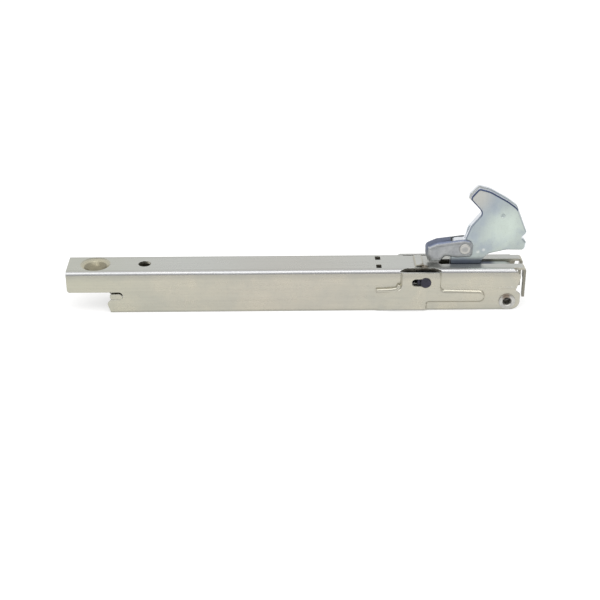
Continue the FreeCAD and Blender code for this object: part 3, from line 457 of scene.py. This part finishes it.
# %% [markdown]
# ## The long spring
# The spring is cold drawn wire wound about the channel's long axis, with a hook at each end. A
# spring could be a curve with a round bevel, but then its surface runs in no known order. Here it
# is a round section carried along a path that is computed whole, so the drawing marks can follow
# the wire.

# %% A round section along any path
cap_reach = np.array([[0.32], [0.26], [0.1]])
cap_size = np.array([0.0, 0.75, 0.97])


def wire_along(path, side, radius, around=16):
    """A closed round wire. With tangent T and side N squared to it, and B = T x N, the point at
    angle a is P + r (N cos a + B sin a). The ends close in three shrinking rings."""
    tangent = np.gradient(path, axis=0)
    tangent /= np.linalg.norm(tangent, axis=1, keepdims=True)
    side = side - tangent * np.sum(side * tangent, axis=1, keepdims=True)
    side /= np.linalg.norm(side, axis=1, keepdims=True)
    cross = np.cross(tangent, side)
    path = np.concatenate([path[:1] - tangent[:1] * radius * cap_reach, path,
                           path[-1:] + tangent[-1:] * radius * cap_reach[::-1]])
    size = np.concatenate([cap_size, np.ones(len(path) - 6), cap_size[::-1]]) * radius
    side, cross = (np.concatenate([v[:1]] * 3 + [v] + [v[-1:]] * 3) for v in (side, cross))
    angle = np.linspace(0, 2 * np.pi, around, endpoint=False)[None, :, None]
    return path[:, None] + size[:, None, None] * (side[:, None] * np.cos(angle)
                                                  + cross[:, None] * np.sin(angle))


straight = wire_along(np.linspace([0, 0, 0], [9, 0, 0], 10), np.tile([0, 1.0, 0], (10, 1)), 1.0)
print("a straight wire of ten points has rings by points:", straight.shape[:2])

# %% [markdown]
# The tail hook goes over the flat bar and the nose hook through the link's hole. A leg leads from
# each hook to the coil. The side direction says which way the section's first point looks: across
# the hinge on the hook, away from the axis on the coil, and downwards on the legs.

# %% The spring's path in mm
coil_start, coil_pitch, coil_turns = -60.75, 3.56, 17.0
coil_radius, coil_height = 4.7, 8.5
points_a_turn = 44
bar_middle = np.array([-82.95, 0.0, 7.65])
hook_radius = 2.4
link_hole = 20.85
leg_height = 7.95
wire_radius = 0.98


def spring_path():
    """The path, from the tail hook to the nose hook, and a side direction for each point.
    Coil: x = x0 + p t, y = R sin(2 pi t), z = h - R cos(2 pi t), for t turns."""
    across, up, ahead = np.array([0, 1.0, 0]), np.array([0, 0, 1.0]), np.array([1.0, 0, 0])
    sweep = np.radians(np.linspace(360, 180, 40))[:, None]
    hook = bar_middle + hook_radius * (up * np.cos(sweep) + ahead * np.sin(sweep))
    tip = hook[:1] + ahead * np.linspace(3.0, 0.2, 6)[:, None]
    lead = soft_corners([hook[-1] + ahead * 0.3, (coil_start - 4, 0, 5.25),
                         (coil_start - 1.4, 0, 4.35)], [0, 1.6, 0], 9)
    t = np.linspace(0.06, coil_turns - 0.06, int(coil_turns * points_a_turn))
    radial = np.stack([0 * t, np.sin(2 * np.pi * t), -np.cos(2 * np.pi * t)], axis=-1)
    coil = (ahead * (coil_start + coil_pitch * t)[:, None] + up * coil_height
            + coil_radius * radial)
    coil_end = coil_start + coil_pitch * coil_turns
    into = soft_corners([lead[-1], (coil_start + 0.1, 0.1, 3.95), coil[0]], [0, 1.3, 0], 9)[1:-1]
    nose = soft_corners([coil[-1], (coil_end + 0.2, 0.5, 3.9), (coil_end + 4, 2.3, 6.4),
                         (link_hole - 7, 2.3, leg_height), (link_hole - 3.2, 2.3, 8.0),
                         (link_hole - 0.2, 2.0, leg_height), (link_hole, 0.2, leg_height),
                         (link_hole, -2.3, leg_height)],
                        [0, 0.8, 2.4, 2.4, 1.6, 1.4, 0.8, 0], 9)[1:]
    fade = np.linspace(0, np.pi / 2, len(lead))[:, None]
    side = np.concatenate([np.tile(across, (len(tip) + len(hook), 1)),
                           across * np.cos(fade) - up * np.sin(fade),
                           np.tile(-up, (len(into), 1)), radial, np.tile(-up, (len(nose), 1))])
    return np.concatenate([tip, hook, lead, into, coil, nose]), side


spring = place_mesh("tension_spring_wire", wire_along(*spring_path(), wire_radius), None,
                    ["tension_spring"], "spring_wire")
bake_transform(spring)
print("spring faces:", len(spring.data.polygons))

# %% [markdown]
# ## The rib on the bulged wall
# Where the wall swells out it carries a short raised rib, which starts bluntly, runs along the
# ledge and turns up at its end. It is a rounded bar along a path, sunk for a third of its depth
# in the wall.

# %% Ribs, front and rear
rib_corners = [(35.9, 10.15), (42.6, 10.4), (45.4, 10.9), (46.0, 12.9)]
rib_bends = [0, 2.0, 1.4, 0]
rib_depth = 9.18
rib_radius = 1.06


def rib_path(sign):
    """Points along the ledge: (x, sign times depth, z), with x and z from the softened corners."""
    line = soft_corners(rib_corners, rib_bends, 10)
    return np.stack([line[:, 0], np.full(len(line), rib_depth * sign), line[:, 1]], axis=-1)


for name, sign in (("front", -1), ("rear", 1)):
    line = rib_path(sign)
    bar = wire_along(line, np.tile([0, 1.0, 0], (len(line), 1)), rib_radius)
    rib = place_mesh("wall_rib_" + name, bar, "frame", [], "galvanised_channel")
    print(rib.name, "faces:", len(rib.data.polygons))

# %% [markdown]
# ## Marks painted by shape
# Some marks follow the shape, and most of them are painted light: a thin dark blue line on the
# claw's rounded edge is a painted dark reflection, the pale rolled edge behind it a painted
# highlight, the blue band over the latch's top bend a painted dark reflection, and the channel's
# upward faces and fold carry painted reflection and highlight tints.
# Painting them by place would slip when a size changes. So each is a number on every face, worked
# out from the way the face looks and from where it is, and it stays on the piece when the piece
# turns.

# %% Numbers on faces


def face_numbers(piece):
    """Centres and directions of all faces as arrays."""
    count = len(piece.data.polygons)
    centre, heading = np.empty(count * 3), np.empty(count * 3)
    piece.data.polygons.foreach_get("center", centre)
    piece.data.polygons.foreach_get("normal", heading)
    return centre.reshape(-1, 3), heading.reshape(-1, 3)


def mark_faces(piece, name, values):
    """Writes one number for each face into the mesh."""
    layer = piece.data.attributes.new(name, "FLOAT", "FACE")
    layer.data.foreach_set("value", np.clip(values, 0, 1).astype(np.float32))
    print(piece.name, name, "covers", int((values > 0.5).sum()), "faces")


def between(values, low, high):
    """A soft step: with t from 0 at low to 1 at high, t squared times (3 - 2t)."""
    t = np.clip((values - low) / (high - low), 0, 1)
    return t * t * (3 - 2 * t)


print("halfway up a soft step:", between(0.5, 0, 1))

# %% [markdown]
# On the claw the dark line is a painted dark reflection on the fillet that looks forwards,
# upwards and to the left, and it fades low down. The pale edge is a painted highlight on the
# thickness of the plate as seen from above, and on the fillet at the back.

# %% Marks on the claw
claw_centre, claw_heading = face_numbers(skins["claw"])
height = claw_centre[:, 2]
fillet = between(-claw_heading[:, 1], 0.12, 0.3) * between(claw_heading[:, 1], -0.985, -0.93)
upper = between(claw_heading[:, 2] - 0.8 * claw_heading[:, 0], -0.4, -0.1)
mark_faces(skins["claw"], "claw_dark_reflection_rim", fillet * upper * between(height, 0.022, 0.036)
           * (0.4 + 0.6 * between(height, 0.040, 0.047)))
# Painted highlight: the plate's thickness seen from above and the back fillet are lightened.
back_fillet = fillet * between(claw_heading[:, 0], 0.15, 0.35) * (1 - upper)
thickness = (between(0.8 - np.abs(claw_heading[:, 1]), 0.3, 0.6)
             * between(claw_heading[:, 2] - claw_heading[:, 0], -0.4, 0.1))
mark_faces(skins["claw"], "claw_highlight_edge", np.maximum(thickness, back_fillet)
           * between(height, 0.0215, 0.023))

# %% [markdown]
# The channel's web is painted a little cooler than its walls on the faces that look up, a painted
# reflection, and the fold between them gets a cool tint that stands for the lamp's highlight
# there, a painted highlight. On the latch the blue band, a painted dark reflection, covers the
# top bend and the nose.

# %% Marks on the channel and the latch
channel_centre, channel_heading = face_numbers(skins["channel"])
# Painted reflection and highlight tints, picked by which way each face looks.
at_web = between(channel_centre[:, 2], 0.0172, 0.0178)
mark_faces(skins["channel"], "web_reflection_tint", at_web * between(channel_heading[:, 2], 0.93, 0.985))
mark_faces(skins["channel"], "fold_highlight_tint", at_web * between(channel_heading[:, 2], 0.15, 0.4)
           * between(-channel_heading[:, 2], -0.985, -0.93)
           * between(np.abs(channel_heading[:, 1]), 0.15, 0.4)
           * between(np.abs(channel_centre[:, 1]), 0.0070, 0.0075))
latch_centre, latch_heading = face_numbers(skins["latch"])
# Painted dark reflection on the latch: the top bend and the nose.
top = between(latch_heading[:, 2], 0.5, 0.78) * between(latch_centre[:, 2], 0.0268, 0.0285)
nose = between(-latch_heading[:, 0], 0.5, 0.8) * between(latch_centre[:, 2], 0.0245, 0.028)
mark_faces(skins["latch"], "latch_dark_reflection_bend", np.maximum(top, nose))

# %% [markdown]
# ## Finishes
# All these surfaces are bare or zinc plated steel, so they share one recipe. Slow clouds shift
# the colour a little, fine lines follow the way the sheet was rolled or the wire drawn, small
# specks break the shine, and edges are painted brighter, both as wear and as a painted highlight.
# The steps come first, then the recipe that joins them. A picture of worn metal would be quicker,
# but it would not fit every piece and every size.

# %% Steps of the recipe
edge_radius = 0.00025
edge_share = 0.7
speck_size = 2600.0
grain_size = 900.0


def tinted(tree, colour, mask, shade):
    """Mixes a shade over a colour by a mask."""
    return put(tree, "Mix", {"data_type": "RGBA"}, _0=mask, _6=colour, _7=shade).outputs[2]


def streaked(tree, colour, marks, depth):
    """Multiplies the colour by 1 - depth in the marks' lows and by a bit over 1 in the highs."""
    streak = ramp(tree, marks, 0.35, 0.75, 1.0 - depth, 1.0 + depth * 0.4, "LINEAR")
    return put(tree, "Mix", {"data_type": "RGBA", "blend_type": "MULTIPLY"}, _0=1.0, _6=colour,
               _7=streak).outputs[2]


def specked(tree, where, colour, share):
    """Small dark specks wherever a very fine noise stands high."""
    dots = put(tree, "TexNoise", Vector=where, Scale=speck_size, Detail=2.0).outputs[0]
    return tinted(tree, colour, ramp(tree, dots, 0.62, 0.72, top=share, curve="LINEAR"),
                  paint(110, 106, 98))


def edge_wear_and_highlight(tree, colour, clouds, rounded, edge):
    """Edges painted bright, both as wear and as a painted highlight: the rounded direction leaves
    the true one there, so the product of the two falls from 1. The clouds make the brightening
    patchy."""
    true = put(tree, "NewGeometry").outputs["Normal"]
    turn = put(tree, "VectorMath", {"operation": "DOT_PRODUCT"}, _0=rounded, _1=true)
    bend = ramp(tree, turn.outputs["Value"], 0.985, 0.86, top=edge_share, curve="LINEAR")
    patchy = ramp(tree, clouds, 0.35, 0.6, bottom=0.45, curve="LINEAR")
    return tinted(tree, colour, reckon(tree, "MULTIPLY", bend, patchy), edge)


def bumped(tree, where, marks, rounded, grain):
    """The rounded direction, roughened by fine grain and then by the rolling or drawing marks."""
    fine = put(tree, "TexNoise", Vector=where, Scale=grain_size, Detail=3.0).outputs[0]
    grained = put(tree, "Bump", Strength=grain, Distance=0.00004, Height=fine, Normal=rounded)
    return put(tree, "Bump", Strength=grain * 0.8, Distance=0.00003, Height=marks,
               Normal=grained.outputs[0]).outputs[0]


# The edge brightening is both wear and a painted highlight.
print("edge wear reaches in mm:", 1000 * edge_radius)

# %% [markdown]
# The recipe takes the colours and numbers of one finish. A finish may also bring tints of its
# own, which go on before the marks and the wear, as plating and stains do.

# %% The recipe


def metal(name, warm, cool, edge, metallic=0.85, rough=(0.36, 0.5), cloud=70.0,
          lines=(300.0, 300.0, 300.0), line_depth=0.2, speck=0.25, grain=0.12, extra=None):
    """A metal whose colour = clouds between warm and cool, darker in specks, lighter on edges.
    lines gives how often the fine marks repeat along x, y and z."""
    material = bpy.data.materials.new(name)
    material.use_nodes = True
    tree = material.node_tree
    tree.nodes.clear()
    where = put(tree, "TexCoord").outputs["Object"]
    clouds = put(tree, "TexNoise", Vector=where, Scale=cloud, Detail=4.0, Roughness=0.6,
                 Distortion=0.4).outputs[0]
    colour = tinted(tree, warm, ramp(tree, clouds, 0.3, 0.7, curve="LINEAR"), cool)
    if extra:
        colour = extra(tree, where, colour)
    stretch = put(tree, "Mapping", Vector=where, Scale=lines).outputs[0]
    marks = put(tree, "TexNoise", Vector=stretch, Scale=1.0, Detail=5.0, Roughness=0.65).outputs[0]
    rounded = put(tree, "Bevel", {"samples": 4}, Radius=edge_radius).outputs[0]
    colour = streaked(tree, colour, marks, line_depth)
    colour = specked(tree, where, colour, speck)
    # Edges painted lighter, as wear and as a painted highlight.
    colour = edge_wear_and_highlight(tree, colour, clouds, rounded, edge)
    roughness = ramp(tree, reckon(tree, "ADD", clouds, marks), 0.7, 1.3, *rough, "LINEAR")
    steel = put(tree, "BsdfPrincipled", Base_Color=colour, Metallic=metallic,
                Roughness=roughness, Normal=bumped(tree, where, marks, rounded, grain))
    put(tree, "OutputMaterial", Surface=steel.outputs[0])
    return material


def along(tree, where, axis, low, high, top=1.0):
    """A mask that rises from 0 to top between two places along an axis, in mm."""
    line = put(tree, "SeparateXYZ", Vector=where).outputs[axis]
    return ramp(tree, line, low / 1000, high / 1000, top=top)


def near(tree, where, centre, inner, outer, top=1.0):
    """A mask that is top within inner of a centre and 0 beyond outer, in mm."""
    gap = put(tree, "VectorMath", {"operation": "DISTANCE"}, _0=where,
              _1=[c / 1000 for c in centre])
    return ramp(tree, gap.outputs["Value"], outer / 1000, inner / 1000, top=top)


def marked(tree, name):
    """The number that mark_faces wrote on the face."""
    return put(tree, "Attribute", {"attribute_name": name}).outputs["Fac"]


print("materials before the first finish:", len(bpy.data.materials))

# %% [markdown]
# The channel is cut from hot dip galvanised coil. Its grey is warm, a little yellow at the tail,
# and it has fine lines along the way it was rolled. In the dish a yellow glint is painted. Along
# the top of the outer walls, just under the fold, and along the web beside the fold it is painted
# darker, as the fold's dark reflection. Along the lower hem it is darker, and inside it is
# painted darker as shade.

# %% Channel and bar
dish_middle = (-90.85, 0.0, 18.0)
oil_spot = (57.2, -5.2, 19.8)
dark_reflection_line_y = 0.0066


def channel_tints(tree, where, colour):
    """Tints in this order: web (painted reflection), tail, middle, dish (painted glint), the band
    under the fold (painted dark reflection), oil, hem, web edge (painted dark reflection), fold
    (painted highlight tint) and inside (painted shade).
    """
    spot = put(tree, "SeparateXYZ", Vector=where).outputs
    across = reckon(tree, "ABSOLUTE", spot[1])
    # Painted reflection: the faces that look up are tinted cooler and a little lighter.
    colour = tinted(tree, colour, marked(tree, "web_reflection_tint"), paint(199, 201, 197))
    colour = tinted(tree, colour, along(tree, where, 0, -50, -100, 0.35), paint(188, 189, 168))
    middle = near(tree, where, (0.0, -9.0, 10.0), 10, 50, 0.3)
    colour = tinted(tree, colour, middle, paint(193, 186, 176))
    # Painted glint: a yellow sheen in the dish.
    colour = tinted(tree, colour, near(tree, where, dish_middle, 3, 7.5, 0.5),
                    paint(204, 192, 150))
    # Painted dark reflection: the outer walls darken towards the fold.
    dark_reflection_under_fold = reckon(tree, "MULTIPLY", ramp(tree, across, 0.0083, 0.0087, curve="LINEAR"),
                      ramp(tree, spot[2], 0.0150, 0.0180, top=0.38))
    colour = tinted(tree, colour, dark_reflection_under_fold, paint(150, 150, 146))
    colour = tinted(tree, colour, near(tree, where, oil_spot, 1.2, 2.8, 0.8), paint(112, 96, 70))
    colour = tinted(tree, colour, ramp(tree, spot[2], 0.0011, 0.0002, top=0.5),
                    paint(140, 140, 132))
    # Painted dark reflection: a thin darker line along the web beside the fold.
    offset = reckon(tree, "ABSOLUTE", reckon(tree, "SUBTRACT", across, dark_reflection_line_y))
    colour = tinted(tree, colour, ramp(tree, offset, 0.0005, 0.0, top=0.35),
                    paint(146, 146, 140))
    # Painted highlight tint: the fold, where the lamp's highlight lies, is tinted cool and
    # neutral.
    fold = reckon(tree, "MULTIPLY", marked(tree, "fold_highlight_tint"), 0.7)
    colour = tinted(tree, colour, fold, paint(190, 192, 199))
    # Painted shade: the inner faces of the channel are darkened.
    inside = reckon(tree, "MULTIPLY", ramp(tree, across, 0.00765, 0.0075, curve="LINEAR"),
                    ramp(tree, spot[2], 0.01895, 0.0187, curve="LINEAR"))
    return tinted(tree, colour, reckon(tree, "MULTIPLY", inside, 0.6), paint(104, 100, 88))


folded_steel = metal("galvanised_sheet", paint(198, 193, 177), paint(185, 184, 173),
                     paint(226, 228, 228), lines=(25.0, 1100.0, 1100.0), line_depth=0.07,
                     rough=(0.24, 0.36), extra=channel_tints)
print(folded_steel.name, "nodes:", len(folded_steel.node_tree.nodes))

# %% [markdown]
# The claw is blanked from thick plate and plated, so it is paler and greener than the channel,
# and warmer at the tip of the hook. A grey-blue cast towards its back edge is a painted
# reflection, and so is a pale patch in its middle. The latch rubs two small scuffs beside itself,
# and the part that slides into the slot carries a dark blue band of painted shadow.

# %% Claw
claw_face = -2.2
claw_sheen_centre = (92.5, claw_face, 37.5)
hook_tip = (78.5, claw_face, 53.0)
dimple = (91.65, claw_face, 43.6)
scuffs = ((81.5, claw_face, 25.8), (84.0, claw_face, 26.8))


def claw_tints(tree, where, colour):
    """Back (painted reflection), blotches, middle (painted sheen), tip, scuffs, dimple (painted
    shade), low dark band (painted shadow), pale edge (painted highlight) and dark line (painted
    dark reflection), in order.
    """
    # Painted reflection: darker and grey-blue towards the back edge.
    slant = put(tree, "VectorMath", {"operation": "DOT_PRODUCT"}, _0=where, _1=(-0.8, 0.0, 0.6))
    back = ramp(tree, slant.outputs["Value"], -0.053, -0.033, top=0.9)
    colour = tinted(tree, colour, back, paint(165, 175, 186))
    blots = put(tree, "TexNoise", Vector=where, Scale=190.0, Detail=3.0).outputs[0]
    colour = tinted(tree, colour, ramp(tree, blots, 0.48, 0.66, top=0.55, curve="LINEAR"),
                    paint(162, 172, 184))
    # Painted sheen: a pale patch in the middle of the face.
    colour = tinted(tree, colour, near(tree, where, claw_sheen_centre, 3, 11.5, 0.75),
                    paint(207, 219, 210))
    colour = tinted(tree, colour, near(tree, where, hook_tip, 3, 11, 0.55), paint(205, 200, 186))
    for scuff in scuffs:
        colour = tinted(tree, colour, near(tree, where, scuff, 0.2, 1.1, 0.7),
                        paint(226, 229, 226))
    # Painted shade: the dimple is darkened.
    colour = tinted(tree, colour, near(tree, where, dimple, 0.3, 1.3, 0.6), paint(140, 150, 154))
    # Painted shadow: a dark blue band low on the arm, where it slides into the slot.
    painted_shadow_band = reckon(tree, "MULTIPLY", along(tree, where, 2, 23.8, 21.2, 0.85),
                    along(tree, where, 0, 90.5, 87.5))
    colour = tinted(tree, colour, painted_shadow_band, paint(66, 74, 96))
    # Painted highlight on the thickness of the plate and the back fillet.
    colour = tinted(tree, colour, marked(tree, "claw_highlight_edge"), paint(236, 240, 246))
    # Painted dark reflection along the front fillet.
    return tinted(tree, colour, marked(tree, "claw_dark_reflection_rim"), paint(70, 82, 112))


hook_zinc = metal("plated_claw", paint(190, 200, 194), paint(178, 187, 185),
                  paint(220, 225, 230), lines=(500.0, 500.0, 60.0), line_depth=0.06,
                  rough=(0.3, 0.44), cloud=110.0, grain=0.2, extra=claw_tints)
print(hook_zinc.name, "nodes:", len(hook_zinc.node_tree.nodes))

# %% [markdown]
# The latch is thinner sheet with a blunter, greyer plating, rubbed in many small spots. Its bend
# is painted blue, a painted dark reflection.

# %% Latch


def latch_tints(tree, where, colour):
    """The blue band over the bend, a painted dark reflection."""
    band = reckon(tree, "MULTIPLY", marked(tree, "latch_dark_reflection_bend"), 0.85)
    return tinted(tree, colour, band, paint(92, 103, 132))


saddle_zinc = metal("plated_latch", paint(178, 180, 181), paint(163, 166, 169),
                    paint(222, 226, 230), lines=(900.0, 500.0, 900.0), line_depth=0.16,
                    rough=(0.34, 0.5), cloud=240.0, speck=0.45, grain=0.35, extra=latch_tints)
print(saddle_zinc.name, "nodes:", len(saddle_zinc.node_tree.nodes))

# %% [markdown]
# The rivets are bright. The big one has a brown stain over the top of its ring and a bore painted
# dark as shade, and the latch's rivet a duller middle. These marks are discs seen from the side,
# so they are measured with the depth taken out.

# %% Rivets


def rivet_tints(tree, where, colour):
    """The stain over the ring, the button's middle and the painted shade in the bore."""
    spot = put(tree, "SeparateXYZ", Vector=where).outputs
    flat = put(tree, "CombineXYZ", X=spot[0], Z=spot[2]).outputs[0]
    colour = tinted(tree, colour, near(tree, flat, (94.5, 0.0, 7.0), 0.8, 2.8, 0.8),
                    paint(122, 104, 86))
    colour = tinted(tree, colour, near(tree, flat, (75.35, 0.0, 28.0), 0.9, 1.7, 0.6),
                    paint(146, 148, 148))
    # Painted shade: the bore of the big rivet is darkened.
    inside = ramp(tree, reckon(tree, "ABSOLUTE", spot[1]), 0.0093, 0.0085, curve="LINEAR")
    bore = near(tree, flat, (pivot[0], 0.0, pivot[1]), 1.2, 1.6, 0.8)
    return tinted(tree, colour, reckon(tree, "MULTIPLY", bore, inside), paint(60, 56, 52))


rivet_steel = metal("headed_rivets", paint(203, 202, 197), paint(184, 183, 179),
                    paint(236, 236, 236), lines=(700.0, 300.0, 700.0), line_depth=0.12,
                    rough=(0.26, 0.4), cloud=420.0, extra=rivet_tints)
print(rivet_steel.name, "nodes:", len(rivet_steel.node_tree.nodes))

# %% [markdown]
# The hidden pieces need no marks of their own: a plated link, oil blackened pins, brown friction
# washers and a spring that keeps the brown scale of its wire. Then every piece gets the finish of
# its slot, and so does the solid that it stands for.

# %% Small parts, and the finishes given out
link_zinc = metal("plated_link", paint(190, 190, 186), paint(176, 177, 176),
                  paint(222, 222, 220), lines=(30.0, 1200.0, 1200.0), line_depth=0.12)
black_pin = metal("blackened_pins", paint(66, 64, 78), paint(54, 54, 62), paint(122, 122, 134),
                  metallic=0.7, lines=(900.0, 300.0, 900.0), line_depth=0.25, rough=(0.3, 0.46),
                  cloud=420.0, speck=0.1)
washer_brown = metal("friction_washers", paint(92, 78, 66), paint(70, 60, 54),
                     paint(140, 126, 110), lines=(700.0, 700.0, 700.0), line_depth=0.3,
                     rough=(0.36, 0.55), cloud=300.0)
wire_brown = metal("spring_wire_scale", paint(112, 98, 82), paint(86, 76, 66),
                   paint(168, 156, 138), metallic=0.8, lines=(700.0, 300.0, 300.0),
                   line_depth=0.3, rough=(0.26, 0.4), cloud=260.0, speck=0.3)
finishes = {"galvanised_channel": folded_steel, "zinc_claw": hook_zinc, "zinc_latch": saddle_zinc,
            "zinc_link": link_zinc, "spring_wire": wire_brown, "friction_washers": washer_brown,
            "dark_pins": black_pin, "bright_rivets": rivet_steel}
for piece in [o for o in bpy.data.objects if o.type == "MESH" and "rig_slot" in o]:
    piece.data.materials.clear()
    piece.data.materials.append(finishes[piece["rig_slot"]])
for name, node in frame["nodes"].items():
    for holder in node.material_slots:
        holder.material = finishes[slot_of[name]]
print("finishes:", sorted(finishes))
